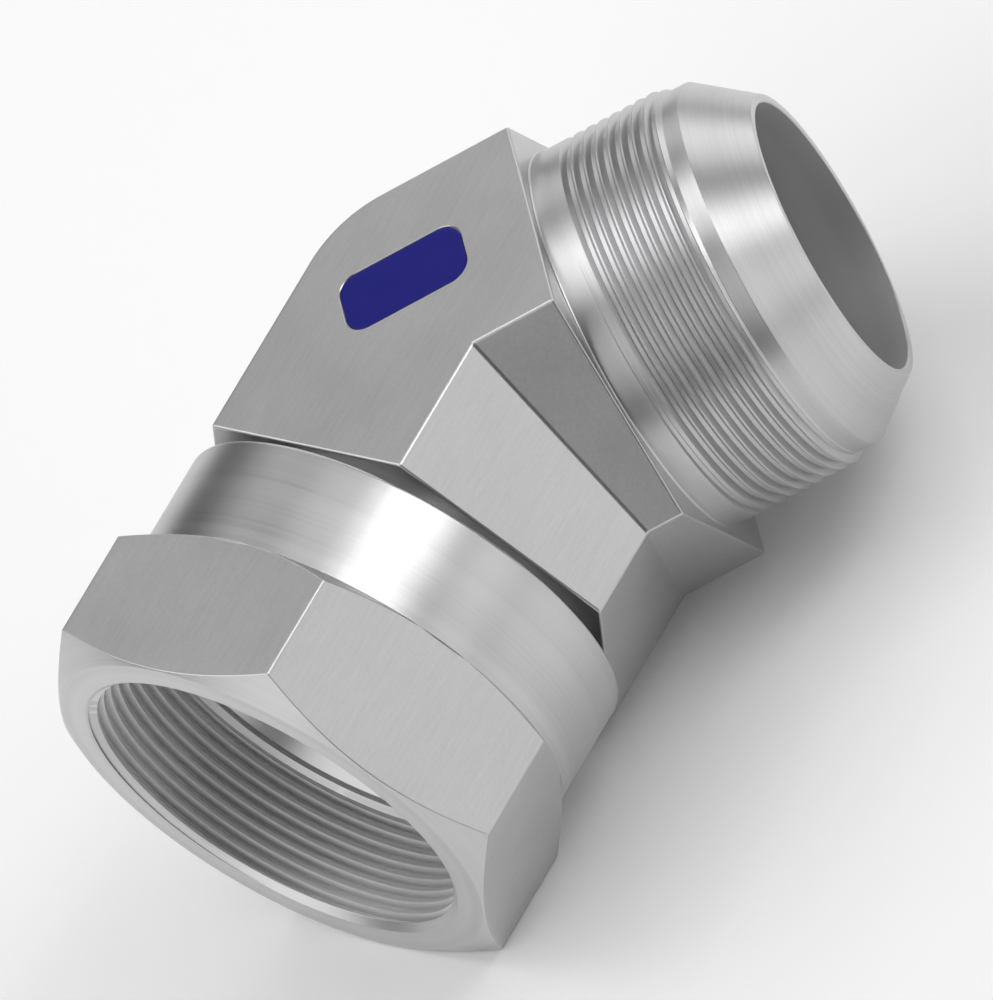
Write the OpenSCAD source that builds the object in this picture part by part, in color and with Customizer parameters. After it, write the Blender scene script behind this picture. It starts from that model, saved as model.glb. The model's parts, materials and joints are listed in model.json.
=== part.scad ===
// Forty-five degree elbow fitting with a flared stud end and a swivel nut.
// Millimetres. The origin is in the swivel nut's mouth, on its axis, where its thread starts.
// The nut opens towards -X, the stud end leaves in the XY plane, +Z is square to both.

/* [Elbow block] */
// Angle that the flow turns through, in degrees
bend_angle = 45; // [30:1:50]
// Width across the flats of the six-sided block
block_af = 66.7; // [65:0.1:72]
// Elbow centre to the block's face behind the swivel nut
block_to_swivel = 30.8; // [24:0.1:45]
// Elbow centre to the block's face behind the stud thread
block_to_stud = 22.2; // [21:0.1:40]
// Bore of the waterway through both ends
bore_d = 45.3; // [36:0.1:47]
// How far the ball-nosed cut at the elbow centre goes below the bore's wall
centre_cut_depth = 0.2; // [0.1:0.05:0.6]

/* [Thread and flare, both ends] */
// Outside diameter of the straight thread, two and a half inches
thread_d = 63.5; // [62.5:0.1:64.5]
// Pitch of the thread, twelve to the inch
thread_pitch = 2.1167; // [1.5:0.0001:2.2]
// Angle between the flared cone and its axis, in degrees
flare_angle = 37; // [30:1:45]

/* [Stud end] */
// Length of the thread's crest from the block's face
stud_thread_len = 21; // [15:0.1:30]
// Length of the bevel that ends the thread
stud_bevel_len = 1.5; // [0.8:0.1:3]
// Length of the plain relief between the thread and the cone
relief_len = 2.8; // [1:0.1:6]
// Depth of the relief below the thread's crest
relief_depth = 1.1; // [0.6:0.05:1.6]
// Width of the flat ring at the cone's tip
tip_wall = 1.3; // [0.6:0.1:3]

/* [Swivel tail] */
// Diameter of the tail that the nut turns on
tail_d = 59; // [56:0.1:60]
// Length of the tail from the block's face
tail_len = 24.4; // [18:0.1:25]
// Bevel round the tail's open end
tail_bevel = 0.5; // [0.2:0.1:1]
// Width of the flat rim outside the flared seat
seat_rim = 0.5; // [0.2:0.1:1.5]

/* [Swivel nut] */
// Wall between the thread's outside diameter and the middle of a flat, which sets the spanner size
nut_flat_wall = 4.75; // [3:0.05:9]
// Wall of the round collar over the rear bore
collar_wall = 7.17; // [5:0.01:10]
// Length of the whole nut
nut_len = 41.6; // [40:0.1:50]
// Length of the nut's six-sided part
nut_hex_len = 24.15; // [15:0.1:30]
// Angle of the bevels on the hexagon's corners, in degrees
hex_bevel_angle = 30; // [15:1:40]
// How far inside the flats the bevels start, on the radius
hex_bevel_inset = 0.25; // [0.1:0.05:1]
// Space between the block's face and the nut
nut_gap = 2.2; // [1:0.1:4]
// Length of the thread in the nut
nut_thread_len = 17.2; // [12:0.1:18]
// Length of the cone that runs the thread out into the rear bore
run_out_len = 0.75; // [0.4:0.05:1.5]
// Length of the countersink at the nut's mouth
mouth_len = 1; // [0.5:0.1:2]
// How much wider than the thread the countersink starts, on the radius
mouth_flare = 0.15; // [0.05:0.05:0.5]

/* [Retaining wire] */
// Diameter of the round wire that holds the nut on the tail
wire_d = 2.9; // [2:0.1:4]
// From the nut's back face to the middle of the wire
wire_setback = 8; // [5:0.1:12]
// Part of the circle that the wire leaves open, in degrees
wire_opening = 14; // [8:1:40]
// Diameter of the wire's bent end, where it is drawn down to a peg
hook_d = 2.4; // [1.5:0.1:2.6]
// How deep the wire's bent end hooks into the tail
hook_len = 2.8; // [2:0.1:4]
// How far the bent end stands from the wire's cut end, in degrees round the ring
hook_inset = 4; // [3:1:10]
// Direction round the tail of the wire's cut end, in degrees from +Z towards +Y
hook_angle = 200; // [0:5:355]
// Direction round the nut where the feed hole meets the groove, in degrees from +Z towards +Y
feed_angle = 110; // [0:5:355]
// Diameter of the hole that the wire was fed through
feed_d = 3.8; // [3.2:0.1:5]

/* [Fits] */
// Clearance between the tail and the nut's rear bore, on the radius
running_gap = 0.08; // [0.02:0.01:0.1]
// Clearance round the wire in its grooves and hook hole, on the radius
wire_gap = 0.05; // [0.02:0.01:0.15]

/* [Hidden] */
$fn = 96;
steel = "silver";
plated = "lightgray";
spring_wire = "dimgray";

// Inside diameter of a unified thread, from its outside diameter and pitch
nut_minor_d = thread_d - 1.0825 * thread_pitch;

// Radii and stations along the stud axis, from the elbow centre
thread_r = thread_d / 2;
bore_r = bore_d / 2;
relief_r = thread_r - relief_depth;
tip_r = bore_r + tip_wall;
crest_end = block_to_stud + stud_thread_len;
relief_start = crest_end + stud_bevel_len;
cone_start = relief_start + relief_len;
stud_tip = cone_start + (relief_r - tip_r) / tan(flare_angle);

// Radii and stations along the swivel axis, from the elbow centre
tail_r = tail_d / 2;
tail_end = block_to_swivel + tail_len;
seat_r = tail_r - tail_bevel - seat_rim;
nut_back = block_to_swivel + nut_gap;
wire_at = nut_back + wire_setback;
rear_bore_r = tail_r + running_gap;
collar_d = 2 * (rear_bore_r + collar_wall);
nut_af = thread_d + 2 * nut_flat_wall;
thread_front = nut_len - mouth_len;
thread_back = thread_front - nut_thread_len;
// From the elbow centre to the origin in the nut's mouth
mouth_at = nut_back + thread_front;

// The wire lies half in the tail's groove and half in the nut's
wire_ring_r = tail_r + running_gap / 2;
groove_d = wire_d + 2 * wire_gap;

// Radius of the ball-nosed cut at the elbow centre that joins both bores
centre_cut_r = bore_r + centre_cut_depth;
// Half width of the block's section at its widest, between the flats of each arm
block_corner = block_af / 2 / cos(30);
// How far each arm runs past the elbow centre and the mitre plane into the other arm
arm_overlap = 0.5;
// How far the rounded back of the bend stands proud of the arms that it blends
back_swell = 0.1;
// Angle by which the rounded back is carried into each arm
back_overlap = 15;
// How far the turned ends are carried into the block
fuse = 2;
// Cutters start and end this far outside what they cut
past = 1;
// Larger than any part of the block
reach = 2 * (block_to_swivel + block_to_stud + block_af);

// Moves what is built round the elbow centre to its place behind the nut's mouth
module from_mouth() {
    translate([mouth_at, 0, 0]) children();
}

// Turns a piece built along +Z so that it points out of the swivel end
module along_swivel() {
    rotate([0, -90, 0]) children();
}

// Turns a piece built along +Z so that it points out of the stud end
module along_stud() {
    rotate([0, 0, -bend_angle]) rotate([0, 90, 0]) children();
}

// Six-sided bar along +Z with two flats square to the frame's Z once it is turned
module hex_bar(across_flats, length) {
    rotate([0, 0, 30]) cylinder(d = across_flats / cos(30), h = length, $fn = 6);
}

// Bar along +Z with the hexagon's four sloping sides, which meet in ridges above and below
module sloping_bar(length) {
    ridge = block_af;
    translate([0, 0, -arm_overlap])
        linear_extrude(length + arm_overlap)
            polygon([[ridge, 0], [0, block_corner], [-ridge, 0], [0, -block_corner]]);
}

// Everything past the mitre plane, seen from the arm whose axis has this direction in the XY plane
module past_mitre(arm_direction) {
    rotate([0, 0, arm_direction])
        translate([-reach - arm_overlap, -reach, -reach]) cube([reach, 2 * reach, 2 * reach]);
}

// Outer half of the section swept round the elbow centre, which rounds the back of the bend
module bend_back() {
    rotate([0, 0, 90 - bend_angle - back_overlap])
        rotate_extrude(angle = bend_angle + 2 * back_overlap)
            polygon([[0, -block_af], [block_corner + back_swell, 0], [0, block_af]]);
}

// Two six-sided arms mitred on the inside of the bend and rounded on the outside
module block() {
    intersection() {
        union() {
            difference() {
                along_swivel() sloping_bar(block_to_swivel);
                past_mitre(180 - bend_angle / 2);
            }
            difference() {
                along_stud() sloping_bar(block_to_stud);
                past_mitre(-bend_angle / 2);
            }
            bend_back();
        }
        cube([2 * reach, 2 * reach, block_af], center = true);
    }
}

// Turned stud end: thread crest, bevel, relief and flared cone
module stud() {
    rotate_extrude()
        polygon([
            [0, block_to_stud - fuse],
            [thread_r, block_to_stud - fuse],
            [thread_r, crest_end],
            [relief_r, relief_start],
            [relief_r, cone_start],
            [tip_r, stud_tip],
            [0, stud_tip]
        ]);
}

// Turned tail that the nut runs on
module tail() {
    rotate_extrude()
        polygon([
            [0, block_to_swivel - fuse],
            [tail_r, block_to_swivel - fuse],
            [tail_r, tail_end - tail_bevel],
            [tail_r - tail_bevel, tail_end],
            [0, tail_end]
        ]);
}

// Bore from the elbow centre out through the end of an arm
module bore(end) {
    cylinder(d = bore_d, h = end + past);
}

// Flared seat in the tail's open end, which takes another fitting's cone
module seat() {
    flare = tan(flare_angle);
    depth = (seat_r - bore_r) / flare + past;
    translate([0, 0, tail_end - depth])
        cylinder(r1 = seat_r - depth * flare, r2 = seat_r + past * flare, h = depth + past);
}

// Ring of wire section, used for both grooves
module wire_groove() {
    translate([0, 0, wire_at])
        rotate_extrude()
            translate([wire_ring_r, 0]) circle(d = groove_d);
}

// Straight leg that points at the axis, from the wire's ring inward
module hook_leg(diameter, depth) {
    translate([0, 0, wire_at])
        rotate([0, 0, hook_angle + hook_inset])
            translate([wire_ring_r, 0, 0])
                rotate([0, -90, 0]) cylinder(d = diameter, h = depth);
}

// Hole that meets the groove at a tangent, through which the wire is fed
module feed_hole() {
    translate([0, 0, wire_at])
        rotate([0, 0, feed_angle])
            translate([wire_ring_r, 0, 0])
                rotate([-90, 0, 0]) cylinder(d = feed_d, h = collar_d / 2);
}

// Six-sided bar whose corners are turned off to a cone at both ends
module bevelled_hex(across_flats, length) {
    face_r = across_flats / 2 - hex_bevel_inset;
    corner = across_flats / 2 / cos(30);
    bevel_len = (corner - face_r) * tan(hex_bevel_angle);
    intersection() {
        hex_bar(across_flats, length);
        rotate_extrude()
            polygon([
                [0, 0],
                [face_r, 0],
                [corner, bevel_len],
                [corner, length - bevel_len],
                [face_r, length],
                [0, length]
            ]);
    }
}

// Everything that is turned out of the nut: rear bore, run-out, thread and countersink
module nut_bores() {
    rotate_extrude()
        polygon([
            [0, -past],
            [rear_bore_r, -past],
            [rear_bore_r, thread_back - run_out_len],
            [nut_minor_d / 2, thread_back],
            [nut_minor_d / 2, thread_front],
            [thread_r + mouth_flare, nut_len],
            [thread_r + mouth_flare, nut_len + past],
            [0, nut_len + past]
        ]);
}

module elbow_body() {
    color(steel)
        from_mouth() difference() {
            union() {
                block();
                along_stud() stud();
                along_swivel() tail();
            }
            along_stud() bore(stud_tip);
            along_swivel() bore(tail_end);
            along_swivel() sphere(r = centre_cut_r);
            along_swivel() seat();
            along_swivel() wire_groove();
            along_swivel() hook_leg(hook_d + 2 * wire_gap, hook_len + wire_gap);
        }
}

module swivel_nut() {
    color(plated)
        from_mouth() along_swivel()
            difference() {
                translate([0, 0, nut_back]) {
                    difference() {
                        union() {
                            cylinder(d = collar_d, h = nut_len - nut_hex_len + fuse);
                            translate([0, 0, nut_len - nut_hex_len])
                                bevelled_hex(nut_af, nut_hex_len);
                        }
                        nut_bores();
                    }
                }
                wire_groove();
                feed_hole();
            }
}

module retaining_wire() {
    color(spring_wire)
        from_mouth() along_swivel() {
            translate([0, 0, wire_at])
                rotate([0, 0, hook_angle])
                    rotate_extrude(angle = 360 - wire_opening)
                        translate([wire_ring_r, 0]) circle(d = wire_d);
            hook_leg(hook_d, hook_len);
        }
}

elbow_body();
swivel_nut();
retaining_wire();
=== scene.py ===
import json
import math

import bmesh
import bpy
from mathutils import Matrix, Vector

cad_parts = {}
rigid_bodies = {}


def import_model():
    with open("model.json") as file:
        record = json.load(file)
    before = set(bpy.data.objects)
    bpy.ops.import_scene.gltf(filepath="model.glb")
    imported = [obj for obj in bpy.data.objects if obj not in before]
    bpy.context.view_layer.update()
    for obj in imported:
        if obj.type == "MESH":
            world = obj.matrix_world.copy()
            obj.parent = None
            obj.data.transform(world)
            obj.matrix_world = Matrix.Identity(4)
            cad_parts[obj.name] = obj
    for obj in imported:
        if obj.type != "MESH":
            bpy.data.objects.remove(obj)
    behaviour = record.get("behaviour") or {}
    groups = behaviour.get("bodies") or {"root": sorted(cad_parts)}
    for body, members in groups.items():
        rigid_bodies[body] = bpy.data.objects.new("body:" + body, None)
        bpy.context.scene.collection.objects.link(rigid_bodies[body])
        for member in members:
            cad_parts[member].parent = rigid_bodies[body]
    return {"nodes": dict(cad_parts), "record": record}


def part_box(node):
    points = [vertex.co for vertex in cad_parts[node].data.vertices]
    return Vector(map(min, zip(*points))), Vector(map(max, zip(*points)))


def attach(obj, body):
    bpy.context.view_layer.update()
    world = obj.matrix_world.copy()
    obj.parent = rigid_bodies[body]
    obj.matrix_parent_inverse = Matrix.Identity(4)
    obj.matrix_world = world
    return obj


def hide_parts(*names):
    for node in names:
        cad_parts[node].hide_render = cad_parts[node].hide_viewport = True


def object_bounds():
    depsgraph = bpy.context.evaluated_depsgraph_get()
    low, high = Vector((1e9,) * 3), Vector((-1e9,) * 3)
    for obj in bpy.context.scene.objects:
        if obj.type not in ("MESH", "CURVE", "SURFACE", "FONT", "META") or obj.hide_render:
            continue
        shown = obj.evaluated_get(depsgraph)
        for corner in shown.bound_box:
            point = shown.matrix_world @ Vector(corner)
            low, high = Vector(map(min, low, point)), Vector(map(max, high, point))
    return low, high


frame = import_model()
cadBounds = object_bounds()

# Lengths are in millimetres and angles in degrees unless a note says otherwise
mm = 0.001
mounts = {mount["name"]: mount for mount in frame["record"]["mounts"]}


def mountRadius(name):
    return mounts[name]["dims"]["r_mm"]


def mountLength(name):
    return mounts[name]["dims"]["length_mm"]


# The two arms' axes cross at the elbow centre
studStart = Vector(mounts["stud_thread"]["pos_m"])
studAxis = Vector(mounts["stud_thread"]["axis"]).normalized()
swivelAxis = Vector(mounts["swivel_thread"]["axis"]).normalized()
elbowCentre = studStart - studAxis * (studStart.y / studAxis.y)
bendAngle = math.pi - swivelAxis.angle(studAxis)       # radians


def armFrame(outward):
    # local Z runs out of the arm, local X is the frame's +Z, and the origin is the elbow centre
    up = Vector((0, 0, 1))
    turn = Matrix((up, outward.cross(up), outward)).transposed()
    return Matrix.Translation(elbowCentre) @ turn.to_4x4() @ Matrix.Scale(mm, 4)


swivelArm = armFrame(swivelAxis)
studArm = armFrame(studAxis)
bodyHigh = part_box("elbow_body")[1]
nutLow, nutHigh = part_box("swivel_nut")

threadForm = {
    "pitch": 2.1167,
    "flankAngle": 30,        # each side of the groove's middle
    "maleCrest": 1 / 8,      # flat crest as a share of the pitch
    "maleDepth": 1.08,
    "maleStart": -0.4,       # in pitches from where the full thread begins
    "malePast": 1.2,         # how far the groove runs on past the thread's end
    "femaleCrest": 1 / 4,
    "femaleDepth": 1.2,
    "femaleStart": 0.2,
    "femalePast": 1.5,
    "clear": 0.5,            # cutter's reach on the open side of the wall
    "runOutTurns": 0.75,     # part of a turn over which the tool leaves the work
    "runOutLift": 1.15,      # how far it lifts, as a share of the depth
    "turnSteps": 240,        # steps round one turn, the same as the turned parts
}

# Mesh helpers

meshing = {
    "arcSteps": 4,             # steps round a rounded corner
    "cornerShare": 0.45,       # the most of an edge that one rounding takes
    "weld": 1e-6,              # metres
    "sharpAngle": 32,
}


def linkMesh(name, mesh):
    piece = bpy.data.objects.new(name, mesh)
    bpy.context.scene.collection.objects.link(piece)
    return piece


def makeSolid(name, points, faces, place):
    mesh = bpy.data.meshes.new(name)
    mesh.from_pydata([place @ Vector(point) for point in points], [], faces)
    shape = bmesh.new()
    shape.from_mesh(mesh)
    bmesh.ops.recalc_face_normals(shape, faces=shape.faces)
    shape.to_mesh(mesh)
    shape.free()
    return linkMesh(name, mesh)


def roundCorners(corners, closed):
    # corners are (radius, station, rounding); each rounded corner becomes the same number of points
    points = []
    last = len(corners) - 1
    most = meshing["cornerShare"]
    for index, (radius, station, rounding) in enumerate(corners):
        corner = Vector((radius, station))
        if rounding == 0 or (not closed and index in (0, last)):
            points.append(corner)
            continue
        before = Vector(corners[index - 1][:2]) - corner
        after = Vector(corners[(index + 1) % len(corners)][:2]) - corner
        halfTurn = (math.pi - before.angle(after)) / 2
        back = min(rounding * math.tan(halfTurn), before.length * most, after.length * most)
        start = corner + before.normalized() * back
        end = corner + after.normalized() * back
        for step in range(meshing["arcSteps"] + 1):
            share = step / meshing["arcSteps"]
            points.append(start * (1 - share) ** 2 + corner * 2 * share * (1 - share) + end * share ** 2)
    return points


def wallFaces(size, rows):
    # quads between rows of points, each row a closed outline of the same size
    faces = []
    for row in range(rows - 1):
        for corner in range(size):
            follow = (corner + 1) % size
            here = row * size
            faces.append((here + corner, here + follow, here + size + follow, here + size + corner))
    return faces


def makeLayers(name, outlineAt, layers, place):
    # closed solid from outlines at rising heights; layers are (inset, height)
    points = []
    for inset, height in layers:
        outline = outlineAt(inset)
        points += [(x, y, height) for x, y in outline]
    size = len(outline)
    top = (len(layers) - 1) * size
    caps = [list(reversed(range(size))), [top + corner for corner in range(size)]]
    return makeSolid(name, points, caps + wallFaces(size, len(layers)), place)


def turnSolid(name, corners, angles, place, closed=False):
    # corners are the profile's, or a function that gives them at an angle; a closed profile makes a ring
    points = []
    for angle in angles:
        profile = roundCorners(corners(angle) if callable(corners) else corners, closed)
        points += [(r * math.cos(angle), r * math.sin(angle), z) for r, z in profile]
    rows = len(profile)
    turns = len(angles)
    faces = []
    for turn in range(turns):
        beside = (turn + 1) % turns
        for row in range(rows if closed else rows - 1):
            above = (row + 1) % rows
            faces.append((turn * rows + row, beside * rows + row, beside * rows + above, turn * rows + above))
    if not closed:
        faces.append([turn * rows for turn in range(turns)])
        faces.append([turn * rows + rows - 1 for turn in reversed(range(turns))])
    return makeSolid(name, points, faces, place)


def evenAngles(count=threadForm["turnSteps"]):
    return [2 * math.pi * step / count for step in range(count)]


def helixGroove(name, wall, depth, crest, stations, place):
    # a V groove swept along a right-hand helix, shallow at its start; a negative depth cuts inward
    pitch = threadForm["pitch"]
    flank = math.tan(math.radians(threadForm["flankAngle"]))
    clear = -threadForm["clear"] if depth > 0 else threadForm["clear"]
    halfWidth = pitch * (1 - crest) / 2
    rootHalf = halfWidth - abs(depth) * flank
    section = [(clear, -halfWidth), (0, -halfWidth), (depth, -rootHalf)]
    section += [(depth, rootHalf), (0, halfWidth), (clear, halfWidth)]
    count = threadForm["turnSteps"]
    total = int((stations[1] - stations[0]) / pitch * count)
    points = []
    for step in range(total + 1):
        angle = 2 * math.pi * step / count
        station = stations[0] + pitch * step / count
        lift = max(0.0, 1 - step / count / threadForm["runOutTurns"])
        shift = -depth * threadForm["runOutLift"] * lift * lift
        for out, along in section:
            radius = wall + out + shift
            points.append((radius * math.cos(angle), radius * math.sin(angle), station + along))
    size = len(section)
    caps = [list(range(size)), [total * size + corner for corner in reversed(range(size))]]
    return makeSolid(name, points, caps + wallFaces(size, total + 1), place)


def combine(piece, tool, operation):
    change = piece.modifiers.new(operation, "BOOLEAN")
    change.operation = operation
    change.solver = "MANIFOLD"
    change.object = tool
    depsgraph = bpy.context.evaluated_depsgraph_get()
    mesh = bpy.data.meshes.new_from_object(piece.evaluated_get(depsgraph))
    piece.modifiers.clear()
    piece.data = mesh
    bpy.data.objects.remove(tool)


def finishMesh(piece, sharpAngle=meshing["sharpAngle"]):
    # smooth round faces, hard edges and flat faces that stay flat
    mesh = piece.data
    shape = bmesh.new()
    shape.from_mesh(mesh)
    bmesh.ops.remove_doubles(shape, verts=shape.verts, dist=meshing["weld"])
    bmesh.ops.dissolve_degenerate(shape, edges=shape.edges, dist=meshing["weld"])
    shape.to_mesh(mesh)
    shape.free()
    mesh.shade_smooth()
    mesh.set_sharp_from_angle(angle=math.radians(sharpAngle))
    weigh = piece.modifiers.new("weigh", "WEIGHTED_NORMAL")
    weigh.keep_sharp = True
    depsgraph = bpy.context.evaluated_depsgraph_get()
    piece.data = bpy.data.meshes.new_from_object(piece.evaluated_get(depsgraph))
    piece.modifiers.clear()


# Shader helpers: sockets can be used in plain arithmetic

class Socket:
    def __init__(self, graph, socket):
        self.graph = graph
        self.socket = socket

    def math(self, operation, first, second):
        return self.graph.node("Math", {"operation": operation}, {0: first, 1: second})

    def __add__(self, other):
        return self.math("ADD", self, other)

    def __radd__(self, other):
        return self.math("ADD", other, self)

    def __sub__(self, other):
        return self.math("SUBTRACT", self, other)

    def __rsub__(self, other):
        return self.math("SUBTRACT", other, self)

    def __mul__(self, other):
        return self.math("MULTIPLY", self, other)

    def __rmul__(self, other):
        return self.math("MULTIPLY", other, self)


class Graph:
    def __init__(self, tree):
        self.tree = tree
        tree.nodes.clear()

    def node(self, kind, settings=None, sockets=None, output=0):
        made = self.tree.nodes.new("ShaderNode" + kind)
        for name, value in (settings or {}).items():
            if name == "stops":
                ramp = made.color_ramp
                while len(ramp.elements) < len(value):
                    ramp.elements.new(1)
                for stop, (position, level) in zip(ramp.elements, value):
                    stop.position = position
                    stop.color = (level, level, level, 1)
            else:
                setattr(made, name, value)
        for name, value in (sockets or {}).items():
            if isinstance(value, Socket):
                self.tree.links.new(value.socket, made.inputs[name])
            else:
                made.inputs[name].default_value = value
        return Socket(self, made.outputs[output]) if made.outputs else made

    def vector(self, operation, first, second, output="Vector"):
        return self.node("VectorMath", {"operation": operation}, {0: first, 1: second}, output)

    def scaled(self, length, direction):
        return self.node("CombineXYZ", None, {axis: length * direction[axis] for axis in range(3)})

    def blend(self, share, first, second):
        return self.node("Mix", {"data_type": "RGBA"}, {0: share, 6: first, 7: second}, 2)

    def noise(self, place, scale, detail):
        settings = {"noise_dimensions": "3D"}
        return self.node("TexNoise", settings, {"Vector": place, "Scale": scale, "Detail": detail})

    def surface(self, sockets):
        shader = self.node("BsdfPrincipled", None, sockets)
        self.node("OutputMaterial", None, {"Surface": shader})


def newMaterial(name):
    material = bpy.data.materials.new(name)
    material.use_nodes = True
    return material, Graph(material.node_tree)


bumpDepth = 0.0002       # metres


def weightedSum(noises, shares):
    parts = [noises[name] * share for name, share in shares.items()]
    total = parts[0]
    for part in parts[1:]:
        total = total + part
    return total


def grained(graph, grain, finish, places, sockets):
    # a surface from noises: grain says what each one is worth in the shade, roughness and height
    light, dark, rough = finish
    noises = {name: graph.noise(places[name], *kind) for name, kind in grain["noises"].items()}
    shade = weightedSum(noises, grain["shade"])
    if "stops" in grain:
        shade = graph.node("ValToRGB", {"stops": grain["stops"]}, {0: shade})
    for name, span in grain["rough"].items():
        rough = rough + (noises[name] - 0.5) * span        # a noise lies about its middle, a half
    height = weightedSum(noises, grain["height"])
    bump = graph.node("Bump", None, {"Strength": grain["bump"], "Distance": bumpDepth, "Height": height})
    colour = graph.blend(shade, dark, light)
    graph.surface({"Base Color": colour, "Roughness": rough, "Normal": bump, **sockets})


# Steel finishes: zinc-plated, so neutral and satin

plated = (0.61, 0.61, 0.615, 1), (0.52, 0.52, 0.525, 1)
# painted light: lighter colours than the plated steel, so the shaded inside of the nut's thread looks lit
threadPaintedLight = (0.82, 0.82, 0.825, 1), (0.72, 0.72, 0.725, 1)
steel = {
    # lightest colour, darkest colour and roughness of each finish
    "flat": (*plated, 0.35),
    "turned": (*plated, 0.335),
    "bore": (*plated, 0.6),
    # the nut's thread is painted lighter than the plated steel, as painted light in the shaded bore
    "nutThread": (*threadPaintedLight, 0.6),
    # noises are (scale, detail); the rest is what each is worth
    "latheMarks": {
        "noises": {"marks": (2600, 3), "bands": (420, 1), "cloud": (55, 3), "speck": (1500, 2)},
        "shade": {"marks": 0.35, "bands": 0.35, "cloud": 0.3},
        "rough": {"marks": 0.07, "cloud": 0.05},
        "height": {"marks": 0.7, "bands": 0.5, "speck": 0.12},
        "stops": ((0.35, 0), (0.65, 1)),
        "bump": 0.05,
    },
    "drawnLines": {
        "noises": {"drawn": (2200, 2), "grain": (1800, 3), "cloud": (48, 3)},
        "shade": {"drawn": 0.3, "grain": 0.25, "cloud": 0.45},
        "rough": {"grain": 0.07, "cloud": 0.06},
        "height": {"drawn": 0.6, "grain": 0.5},
        "stops": ((0.35, 0), (0.65, 1)),
        "bump": 0.04,
    },
    "drawnOut": 0.93,          # how much the lines on the flats are drawn out along the arm
}


def turnedSteel(name, outward, finish):
    # marks left by the lathe lie in rings round the axis, so they follow station and radius only
    material, graph = newMaterial(name)
    place = graph.node("TexCoord", output="Object")
    fromCentre = graph.vector("SUBTRACT", place, elbowCentre)
    station = graph.vector("DOT_PRODUCT", fromCentre, outward, "Value")
    aside = graph.vector("SUBTRACT", fromCentre, graph.scaled(station, outward))
    radius = graph.node("VectorMath", {"operation": "LENGTH"}, {0: aside}, "Value")
    ring = graph.node("CombineXYZ", None, {0: station, 1: radius})
    places = {"marks": ring, "bands": ring, "cloud": place, "speck": place}
    grained(graph, steel["latheMarks"], steel[finish], places, {"Metallic": 1.0})
    return material


def flatSteel(name, outward):
    # drawn or milled flats: fine lines along the arm and a satin grain
    material, graph = newMaterial(name)
    place = graph.node("TexCoord", output="Object")
    station = graph.vector("DOT_PRODUCT", place, outward, "Value")
    squeezed = graph.vector("SUBTRACT", place, graph.scaled(station * steel["drawnOut"], outward))
    places = {"drawn": squeezed, "grain": place, "cloud": place}
    grained(graph, steel["drawnLines"], steel["flat"], places, {"Metallic": 1.0})
    return material


def dress(piece, materials, choose=None):
    # choose gives the number of the material for a face from its middle and its normal
    piece.data.materials.clear()
    for material in materials:
        piece.data.materials.append(material)
    if choose:
        for face in piece.data.polygons:
            face.material_index = choose(face.center, face.normal)


# Elbow body: six-sided block, turned stud end and turned tail in one piece

elbow = {
    "blockToSwivel": 30.8,
    "blockToStud": 22.2,
    "blockEdge": 0.4,          # bevel on the block's edges
    "blockEdgeAngle": 20,      # edges sharper than this are bevelled
    "blockEdgeSteps": 3,
    "bendSteps": 30,
    "shoulderFillet": 0.4,
    "studBevel": 1.5,
    "reliefLength": 2.8,
    "reliefDepth": 1.1,
    "tipWall": 1.3,
    "flareAngle": 37,
    "edge": 0.18,              # rounding on turned edges
    "runOutLength": 5.1,       # plain stretch between the block and the thread
    "tailRadius": 29.5,
    "tailLength": 24.4,
    "tailBevel": 0.5,
    "tailEdge": 0.1,
    "seatRim": 0.5,
    "seatEdge": 0.3,
    "ballCut": 0.2,            # the ball that clears the bores' crossing, past their wall
    "ballSteps": 60,
    "ballTurnSteps": 120,
    "ballPole": 0.02,          # share of a half turn left open at each pole
    "hookHole": 1.25,
    "hookDepth": 2.85,
    "hookAngle": 204,
    "hookSteps": 32,
    # how the turned solids are rooted in the block
    "rootStation": 12,         # from the elbow centre
    "rootInside": 3,           # from the bore's wall inwards
    "studRoot": 1.2,           # past the stud's radius
    "tailRoot": 2.5,
    "rootSunk": 0.02,          # under the block's end face
    # what counts as a turned face
    "wallSlack": 0.1,          # past the bore's wall
    "endSlack": 0.05,          # short of the block's end face
    "turnedPast": 1,           # past the radius of the male thread or the bore
    "across": 0.1,             # the most of the normal that lies along the axis on a wall
    "facing": 0.95,            # the least of it on an end face
}
wire = {
    "ring": 29.54,
    "groove": 1.5,
    "grooveSteps": 12,
    "station": 41.0,
    "feedHole": 1.9,
    "feedAngle": 110,
    "feedSteps": 48,
    "finish": ((0.44, 0.44, 0.45, 1), (0.36, 0.36, 0.37, 1), 0.34),
    "grain": {
        "noises": {"drawn": (1600, 2), "cloud": (120, 2)},
        "shade": {"cloud": 1},
        "rough": {"drawn": 0.12},
        "height": {"drawn": 1},
        "bump": 0.05,
    },
}
boreRadius = mountRadius("waterway_stud")
maleRadius = mountRadius("stud_thread")
halfFlats = bodyHigh.z / mm
blockCorner = halfFlats / math.cos(math.radians(30))
flareSlope = math.tan(math.radians(elbow["flareAngle"]))
crestEnd = elbow["blockToStud"] + mountLength("stud_thread")
reliefRadius = maleRadius - elbow["reliefDepth"]
reliefStart = crestEnd + elbow["studBevel"]
coneStart = reliefStart + elbow["reliefLength"]
tipRadius = boreRadius + elbow["tipWall"]
studTip = coneStart + (reliefRadius - tipRadius) / flareSlope
tailEnd = elbow["blockToSwivel"] + elbow["tailLength"]


def grooveArc(side):
    # half of the wire's round groove, from its mouth to its floor and out again
    arc = []
    for step in range(wire["grooveSteps"] + 1):
        turn = math.pi * step / wire["grooveSteps"]
        arc.append((wire["ring"] + side * wire["groove"] * math.sin(turn),
                    wire["station"] + wire["groove"] * math.cos(turn), 0))
    return arc


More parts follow.
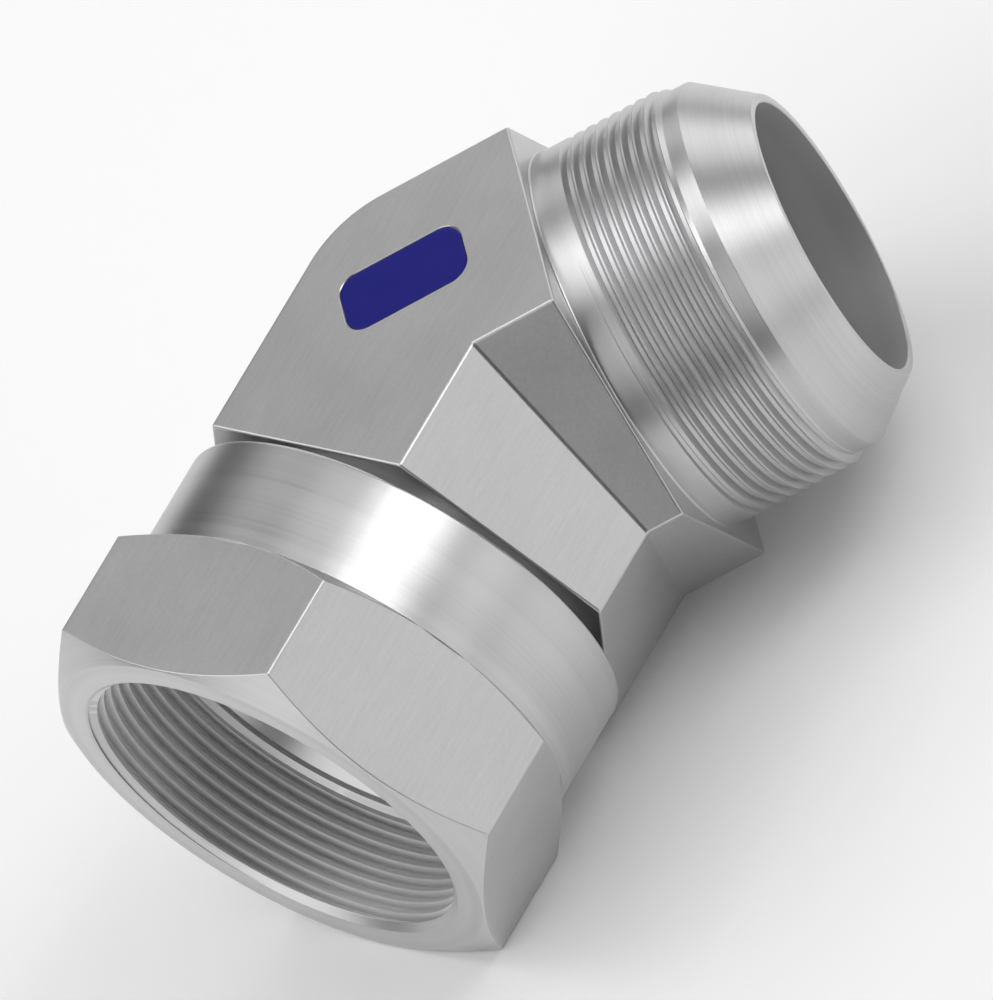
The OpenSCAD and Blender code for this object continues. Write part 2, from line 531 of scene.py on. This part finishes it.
def makeBlock():
    # the two arms meet at a mitre inside the bend and round the elbow centre outside it
    half = bendAngle / 2
    ridges = ((blockCorner / 2, halfFlats), (blockCorner, 0), (blockCorner / 2, -halfFlats))
    outward = math.pi / 2
    loops = [[(-elbow["blockToSwivel"], reach, height) for reach, height in ridges]]
    for step in range(elbow["bendSteps"] + 1):
        angle = outward - bendAngle * step / elbow["bendSteps"]
        loops.append([(reach * math.cos(angle), reach * math.sin(angle), height) for reach, height in ridges])
    along = Vector((math.cos(-bendAngle), math.sin(-bendAngle), 0))
    across = Vector((math.cos(outward - bendAngle), math.sin(outward - bendAngle), 0))

    def studFace(side):
        return [tuple(along * elbow["blockToStud"] + across * side * reach + Vector((0, 0, height)))
                for reach, height in ridges]

    loops.append(studFace(1))
    inside = -outward - half
    mitre = Vector((math.cos(inside), math.sin(inside), 0)) / math.cos(half)
    inner = [[(-elbow["blockToSwivel"], -reach, height) for reach, height in ridges],
             [tuple(mitre * reach + Vector((0, 0, height))) for reach, height in ridges],
             studFace(-1)]
    points = [point for loop in loops + inner for point in loop]
    first = 3 * len(loops)             # where the inner loops start
    faces = []
    for loop in range(len(loops) - 1):
        for ridge in (0, 1):
            here = loop * 3 + ridge
            faces.append((here, here + 1, here + 4, here + 3))
    for loop in (0, 1):
        for ridge in (0, 1):
            here = first + loop * 3 + ridge
            faces.append((here, here + 3, here + 4, here + 1))
    for ridge in (0, 2):               # flat top and bottom
        outer = [loop * 3 + ridge for loop in range(len(loops))]
        faces.append(outer + [first + 6 + ridge, first + 3 + ridge, first + ridge])
    last = first - 3
    faces.append((0, 1, 2, first + 2, first + 1, first))
    faces.append((last, last + 1, last + 2, first + 8, first + 7, first + 6))
    block = makeSolid("elbow", points, faces, Matrix.Translation(elbowCentre) @ Matrix.Scale(mm, 4))
    shape = bmesh.new()
    shape.from_mesh(block.data)
    sharp = math.radians(elbow["blockEdgeAngle"])
    edges = [edge for edge in shape.edges if abs(edge.calc_face_angle_signed()) > sharp]
    bmesh.ops.bevel(shape, geom=edges, offset=elbow["blockEdge"] * mm, segments=elbow["blockEdgeSteps"],
                    affect="EDGES", profile=0.5)
    shape.to_mesh(block.data)
    shape.free()
    return block


def rootCorners(radius, past, block):
    # the part of a turned solid that lies in the block
    shoulder = elbow[block] - elbow["rootSunk"]
    start = elbow["rootStation"]
    return [(boreRadius - elbow["rootInside"], start, 0), (radius + past, start, 0),
            (radius + past, shoulder, 0), (radius, shoulder, elbow["shoulderFillet"])]


def studCorners():
    edge = elbow["edge"]
    return [*rootCorners(maleRadius, elbow["studRoot"], "blockToStud"),
            (maleRadius, crestEnd, edge), (reliefRadius, reliefStart, edge), (reliefRadius, coneStart, edge),
            (tipRadius, studTip, edge), (boreRadius - elbow["rootInside"], studTip, 0)]


def tailCorners():
    radius = elbow["tailRadius"]
    bevel = elbow["tailBevel"]
    edge = elbow["tailEdge"]
    return [*rootCorners(radius, elbow["tailRoot"], "blockToSwivel"), *reversed(grooveArc(-1)),
            (radius, tailEnd - bevel, edge), (radius - bevel, tailEnd, edge),
            (boreRadius - elbow["rootInside"], tailEnd, 0)]


def ballCorners():
    radius = boreRadius + elbow["ballCut"]
    pole = elbow["ballPole"]
    steps = elbow["ballSteps"]
    slices = [math.pi * (pole + (1 - 2 * pole) * step / steps) for step in range(steps + 1)]
    return [(radius * math.sin(turn), -radius * math.cos(turn), 0) for turn in slices]


def makeElbow():
    body = makeBlock()
    combine(body, turnSolid("stud", studCorners(), evenAngles(), studArm), "UNION")
    combine(body, turnSolid("tail", tailCorners(), evenAngles(), swivelArm), "UNION")
    edge = elbow["edge"]
    studBore = [(boreRadius, 0, 0), (boreRadius, studTip - edge, 0),
                (boreRadius + edge * 2, studTip + edge, 0)]
    combine(body, turnSolid("studBore", studBore, evenAngles(), studArm), "DIFFERENCE")
    seatRadius = elbow["tailRadius"] - elbow["tailBevel"] - elbow["seatRim"]
    seatStart = tailEnd - (seatRadius - boreRadius) / flareSlope
    tailBore = [(boreRadius, 0, 0), (boreRadius, seatStart, elbow["seatEdge"]), (seatRadius, tailEnd, 0),
                (seatRadius, tailEnd + 1, 0)]
    combine(body, turnSolid("tailBore", tailBore, evenAngles(), swivelArm), "DIFFERENCE")
    sideways = Matrix.Rotation(math.pi / 2, 4, "Y")
    ball = turnSolid("ball", ballCorners(), evenAngles(elbow["ballTurnSteps"]), swivelArm @ sideways)
    combine(body, ball, "DIFFERENCE")
    around = Matrix.Rotation(math.radians(elbow["hookAngle"]), 4, "Z")
    outward = Matrix.Translation((wire["ring"], 0, wire["station"])) @ sideways
    hook = [(elbow["hookHole"], -elbow["hookDepth"], 0), (elbow["hookHole"], 1, 0)]
    hookHole = turnSolid("hook", hook, evenAngles(elbow["hookSteps"]), swivelArm @ around @ outward)
    combine(body, hookHole, "DIFFERENCE")
    start = elbow["blockToStud"] + elbow["runOutLength"] + threadForm["maleStart"] * threadForm["pitch"]
    end = reliefStart + threadForm["malePast"]
    groove = helixGroove("maleGroove", maleRadius, -threadForm["maleDepth"],
                         threadForm["maleCrest"], (start, end), studArm)
    combine(body, groove, "DIFFERENCE")
    cutPocket(body)
    finishMesh(body)
    return body


# Blue enamel field in a shallow pocket on the flat top of the block

field = {
    "length": 21.0,
    "width": 11.6,
    "cornerRadius": 3.4,
    "cornerSteps": 12,
    "middle": (0.5, 0.5),      # from the elbow centre in X and Y
    # layers are (inset, height) from the field's outline and the block's face
    "pocketLayers": ((-0.1, -0.4), (-0.1, -0.12), (-0.22, 0.0), (-0.72, 0.5)),
    "plateLayers": ((0, -0.38), (0, -0.2), (0.05, -0.12), (0.14, -0.08), (0.35, -0.06), (1.2, -0.04)),
    "plateSharpAngle": 50,
    "finish": ((0.006, 0.0065, 0.19, 1), (0.004, 0.0045, 0.165, 1), 0.38),
    "shine": 0.2,
    "grain": {
        "noises": {"cloud": (260, 2), "peel": (900, 1)},
        "shade": {"cloud": 1},
        "rough": {"cloud": 0.08},
        "height": {"peel": 1},
        "bump": 0.06,
    },
}


def fieldOutline(inset):
    # rounded oblong, drawn anticlockwise
    radius = field["cornerRadius"] - inset
    halfLength = field["length"] / 2 - field["cornerRadius"]
    halfWidth = field["width"] / 2 - field["cornerRadius"]
    outline = []
    for quarter, (alongSign, acrossSign) in enumerate(((1, 1), (-1, 1), (-1, -1), (1, -1))):
        for step in range(field["cornerSteps"] + 1):
            turn = math.pi / 2 * (quarter + step / field["cornerSteps"])
            outline.append((alongSign * halfLength + radius * math.cos(turn),
                            acrossSign * halfWidth + radius * math.sin(turn)))
    return outline


def fieldPlace():
    middle = elbowCentre + Vector((*field["middle"], halfFlats)) * mm
    turn = Matrix.Rotation(math.atan2(studAxis.y, studAxis.x), 4, "Z")
    return Matrix.Translation(middle) @ turn @ Matrix.Scale(mm, 4)


def cutPocket(body):
    combine(body, makeLayers("pocket", fieldOutline, field["pocketLayers"], fieldPlace()), "DIFFERENCE")


def makeField():
    plate = makeLayers("blue_field", fieldOutline, field["plateLayers"], fieldPlace())
    finishMesh(plate, field["plateSharpAngle"])
    return plate


def enamel(name):
    material, graph = newMaterial(name)
    place = graph.node("TexCoord", output="Object")
    places = {"cloud": place, "peel": place}
    grained(graph, field["grain"], field["finish"], places, {"Specular IOR Level": field["shine"]})
    return material


def elbowFace(middle, normal):
    # 0 flats, 1 and 2 turned about the stud's and the swivel's axis, 3 and 4 the waterway on each side
    fromCentre = (middle - elbowCentre) / mm
    for number, arm, block in ((1, studAxis, "blockToStud"), (2, swivelAxis, "blockToSwivel")):
        station = fromCentre.dot(arm)
        radius = (fromCentre - arm * station).length
        onWall = radius < boreRadius + elbow["ballCut"] + elbow["wallSlack"]
        if station > 0 and onWall and abs(normal.dot(arm)) < elbow["across"]:
            return number + 2
        turned = radius < maleRadius + elbow["turnedPast"] or normal.dot(arm) > elbow["facing"]
        if station > elbow[block] - elbow["endSlack"] and turned:
            return number
    return 3 if fromCentre.length < boreRadius + elbow["turnedPast"] else 0


elbowBody = makeElbow()
dress(elbowBody, [flatSteel("blockSteel", swivelAxis),
                  turnedSteel("studSteel", studAxis, "turned"),
                  turnedSteel("tailSteel", swivelAxis, "turned"),
                  turnedSteel("studBoreSteel", studAxis, "bore"),
                  turnedSteel("tailBoreSteel", swivelAxis, "bore")], elbowFace)
print("elbow body:", len(elbowBody.data.polygons), "faces")

blueField = makeField()
dress(blueField, [enamel("blueEnamel")])
print("blue field made")


# Swivel nut: collar, bevelled hexagon, threaded mouth and rear bore

nut = {
    "length": 41.6,
    "hexLength": 24.15,
    "halfFlats": 36.5,
    "bevelAngle": 30,
    "bevelInset": 0.25,
    "cornerRound": 0.5,
    "cornerAngles": (-0.36, -0.18, 0, 0.18, 0.36),     # extra steps round each corner
    "rearBore": 29.58,
    "runOutLength": 0.75,
    "mouthFlare": 0.15,
    "edge": 0.2,
    "backEdge": 0.6,
    "rearBoreEdge": 0.3,
    "innerEdge": 0.1,
    "leastBevel": 0.02,        # so that the bevel never folds back on the collar
    # what counts as a flat or as thread
    "across": 0.02,            # the most of the normal that lies along the axis on a flat
    "flatSlack": 0.1,
    "flatStart": 0.3,
    "threadPast": 0.5,
}
femaleRadius = mountRadius("swivel_thread")
collarRadius = nutHigh.z / mm
nutFront = (elbowCentre.x - nutLow.x) / mm
nutBack = nutFront - nut["length"]
hexBack = nutFront - nut["hexLength"]
threadFront = elbowCentre.x / mm
threadBack = threadFront - mountLength("swivel_thread")


def hexRadius(angle):
    # distance from the axis to the hexagon's side, with its corners rounded
    sector = math.radians(60)
    fromFlat = (angle + sector / 2) % sector - sector / 2
    fromCorner = sector / 2 - abs(fromFlat)
    rounding = nut["cornerRound"]
    middle = (nut["halfFlats"] - rounding) / math.cos(sector / 2)
    spread = math.atan2(rounding * math.sin(sector / 2), middle + rounding * math.cos(sector / 2))
    if fromCorner >= spread:
        return nut["halfFlats"] / math.cos(fromFlat)
    return middle * math.cos(fromCorner) + math.sqrt(rounding ** 2 - (middle * math.sin(fromCorner)) ** 2)


def nutAngles():
    digits = 6                         # so that one angle isn't listed twice
    angles = set(round(angle, digits) for angle in evenAngles())
    for side in range(6):
        for offset in nut["cornerAngles"]:
            angles.add(round(math.radians(30 + 60 * side + offset), digits))
    return sorted(angles)


def nutCorners(angle):
    reach = hexRadius(angle)
    face = nut["halfFlats"] - nut["bevelInset"]
    slope = math.tan(math.radians(nut["bevelAngle"]))
    step = hexBack + (collarRadius - face) * slope
    bevelEnd = max(step + nut["leastBevel"], hexBack + (reach - face) * slope)
    edge = nut["edge"]
    inner = nut["innerEdge"]
    return [(nut["rearBore"], nutBack, nut["rearBoreEdge"]), (collarRadius, nutBack, nut["backEdge"]),
            (collarRadius, step, inner), (reach, bevelEnd, edge),
            (reach, nutFront - (reach - face) * slope, edge), (face, nutFront, edge),
            (maleRadius + nut["mouthFlare"], nutFront, edge), (femaleRadius, threadFront, inner),
            (femaleRadius, threadBack, inner), (nut["rearBore"], threadBack - nut["runOutLength"], inner),
            *grooveArc(1)]


def makeNut():
    body = turnSolid("nut", nutCorners, nutAngles(), swivelArm, closed=True)
    around = Matrix.Rotation(math.radians(wire["feedAngle"]), 4, "Z")
    tangent = Matrix.Translation((wire["ring"], 0, wire["station"])) @ Matrix.Rotation(-math.pi / 2, 4, "X")
    feed = [(wire["feedHole"], 0, 0), (wire["feedHole"], collarRadius, 0)]
    feedHole = turnSolid("feedHole", feed, evenAngles(wire["feedSteps"]), swivelArm @ around @ tangent)
    combine(body, feedHole, "DIFFERENCE")
    start = threadBack + threadForm["femaleStart"] * threadForm["pitch"]
    end = nutFront + threadForm["femalePast"]
    groove = helixGroove("femaleGroove", femaleRadius, threadForm["femaleDepth"],
                         threadForm["femaleCrest"], (start, end), swivelArm)
    combine(body, groove, "DIFFERENCE")
    finishMesh(body)
    return body


def nutFace(middle, normal):
    # 0 flats, 1 turned, 2 thread
    fromCentre = (middle - elbowCentre) / mm
    station = fromCentre.dot(swivelAxis)
    radius = (fromCentre - swivelAxis * station).length
    if threadBack < station < threadFront and radius < maleRadius + nut["threadPast"]:
        return 2
    onFlat = radius > nut["halfFlats"] - nut["flatSlack"] and station > hexBack + nut["flatStart"]
    return 0 if onFlat and abs(normal.dot(swivelAxis)) < nut["across"] else 1


swivelNut = makeNut()
# the nut's thread takes the painted-light colours, lighter than the rest of the plated steel
dress(swivelNut, [flatSteel("nutFlatSteel", swivelAxis),
                  turnedSteel("nutSteel", swivelAxis, "turned"),
                  turnedSteel("nutThreadSteel", swivelAxis, "nutThread")], nutFace)
print("swivel nut:", len(swivelNut.data.polygons), "faces")

elbowBody.name = "elbow_with_thread"
swivelNut.name = "nut_with_thread"
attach(elbowBody, "body")
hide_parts("elbow_body")
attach(blueField, "body")
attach(swivelNut, "nut")
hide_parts("swivel_nut")


# The retaining wire stays as the frame has it, with a drawn finish

def drawnWire(name):
    material, graph = newMaterial(name)
    place = graph.node("TexCoord", output="Object")
    grained(graph, wire["grain"], wire["finish"], {"drawn": place, "cloud": place}, {"Metallic": 1.0})
    return material


wireNode = frame["nodes"]["retaining_wire"]
dress(wireNode, [drawnWire("wireSteel")])
print("finishes set")


# Camera, floor and light

picture = {
    "towardsCamera": (-0.34512, -0.66138, 0.66593),
    "up": (0.80605, 0.15461, 0.57129),
    "height": 150.741,             # of what the picture shows at the elbow centre
    "centre": (-2.074, -13.870),   # picture's middle from the elbow centre, right and up
    "distance": 6000,              # far off, since the drawing has hardly any perspective
    "sensor": 24,
}


def makeCamera():
    towards = Vector(picture["towardsCamera"]).normalized()
    right = Vector(picture["up"]).cross(towards).normalized()
    up = towards.cross(right)
    data = bpy.data.cameras.new("camera")
    data.sensor_fit = "VERTICAL"
    data.sensor_width = picture["sensor"]
    data.sensor_height = picture["sensor"]
    data.lens = picture["sensor"] * picture["distance"] / picture["height"]
    camera = bpy.data.objects.new("camera", data)
    middle = elbowCentre + (right * picture["centre"][0] + up * picture["centre"][1]) * mm
    turn = Matrix((right, up, towards)).transposed().to_4x4()
    camera.matrix_world = Matrix.Translation(middle + towards * picture["distance"] * mm) @ turn
    bpy.context.scene.collection.objects.link(camera)
    bpy.context.scene.camera = camera


studio = {
    "floorColour": (0.97, 0.97, 0.97, 1),
    "floorRough": 0.9,
    "floorHalf": 4,                # metres from its middle to its edge
    "floorGlow": 0.045,            # seen by the camera and in the steel, but it lights nothing
    "worldLevel": 0.06,
    # direction from the object, distance in metres, width in metres, watts
    "lamps": {
        "key": ((0.47, -0.55, 0.69), 1.2, 0.6, 3.1),
        "keyHigh": ((0.33, -0.35, 0.88), 1.2, 0.5, 1.45),
        "overhead": ((0.0, 0.1, 1.0), 1.4, 1.0, 3.4),
        "behind": ((0.344, 0.662, 0.666), 1.4, 1.0, 0.3),
        "front": ((0.344, -0.908, 0.24), 1.4, 0.7, 1.5),
        "farRight": ((0.9, 0.1, 0.4), 1.4, 0.8, 2.0),
        "mouth": ((-0.85, 0.1, 0.5), 1.8, 2.3, 16.5),
        "backHigh": ((-0.2, 0.6, 0.78), 1.4, 1.2, 5.4),
        "backRight": ((0.8, 0.6, 0.5), 1.4, 1.2, 3.2),
    },
}


def lightStudio():
    world = bpy.data.worlds.new("studio")
    bpy.context.scene.world = world
    world.use_nodes = True
    graph = Graph(world.node_tree)
    level = studio["worldLevel"]
    background = graph.node("Background", None, {"Color": (level, level, level, 1), "Strength": 1.0})
    graph.node("OutputWorld", None, {"Surface": background})
    middle = (cadBounds[0] + cadBounds[1]) / 2
    for name, (direction, distance, width, watts) in studio["lamps"].items():
        data = bpy.data.lights.new(name, "AREA")
        data.shape = "DISK"
        data.size = width
        data.energy = watts
        lamp = bpy.data.objects.new(name, data)
        outward = Vector(direction).normalized()
        lamp.location = middle + outward * distance
        lamp.rotation_mode = "QUATERNION"
        lamp.rotation_quaternion = outward.to_track_quat("Z", "Y")
        bpy.context.scene.collection.objects.link(lamp)


def makeFloor():
    half = studio["floorHalf"]
    corners = [(x * half, y * half, cadBounds[0].z) for x, y in ((-1, -1), (1, -1), (1, 1), (-1, 1))]
    mesh = bpy.data.meshes.new("floor")
    mesh.from_pydata(corners, [], [(0, 1, 2, 3)])
    paint, graph = newMaterial("floorPaint")
    seen = graph.node("LightPath", output="Is Camera Ray")
    for kind in ("Is Glossy Ray", "Is Transmission Ray"):
        seen = seen + graph.node("LightPath", output=kind)
    glow = graph.blend(seen * studio["floorGlow"], (0, 0, 0, 1), (1, 1, 1, 1))
    graph.surface({"Base Color": studio["floorColour"], "Roughness": studio["floorRough"],
                   "Emission Color": glow, "Emission Strength": 1.0})
    mesh.materials.append(paint)
    return linkMesh("floor", mesh)


makeCamera()
lightStudio()
floor = makeFloor()
bpy.context.scene.view_settings.view_transform = "Standard"
print("camera, light and floor set")
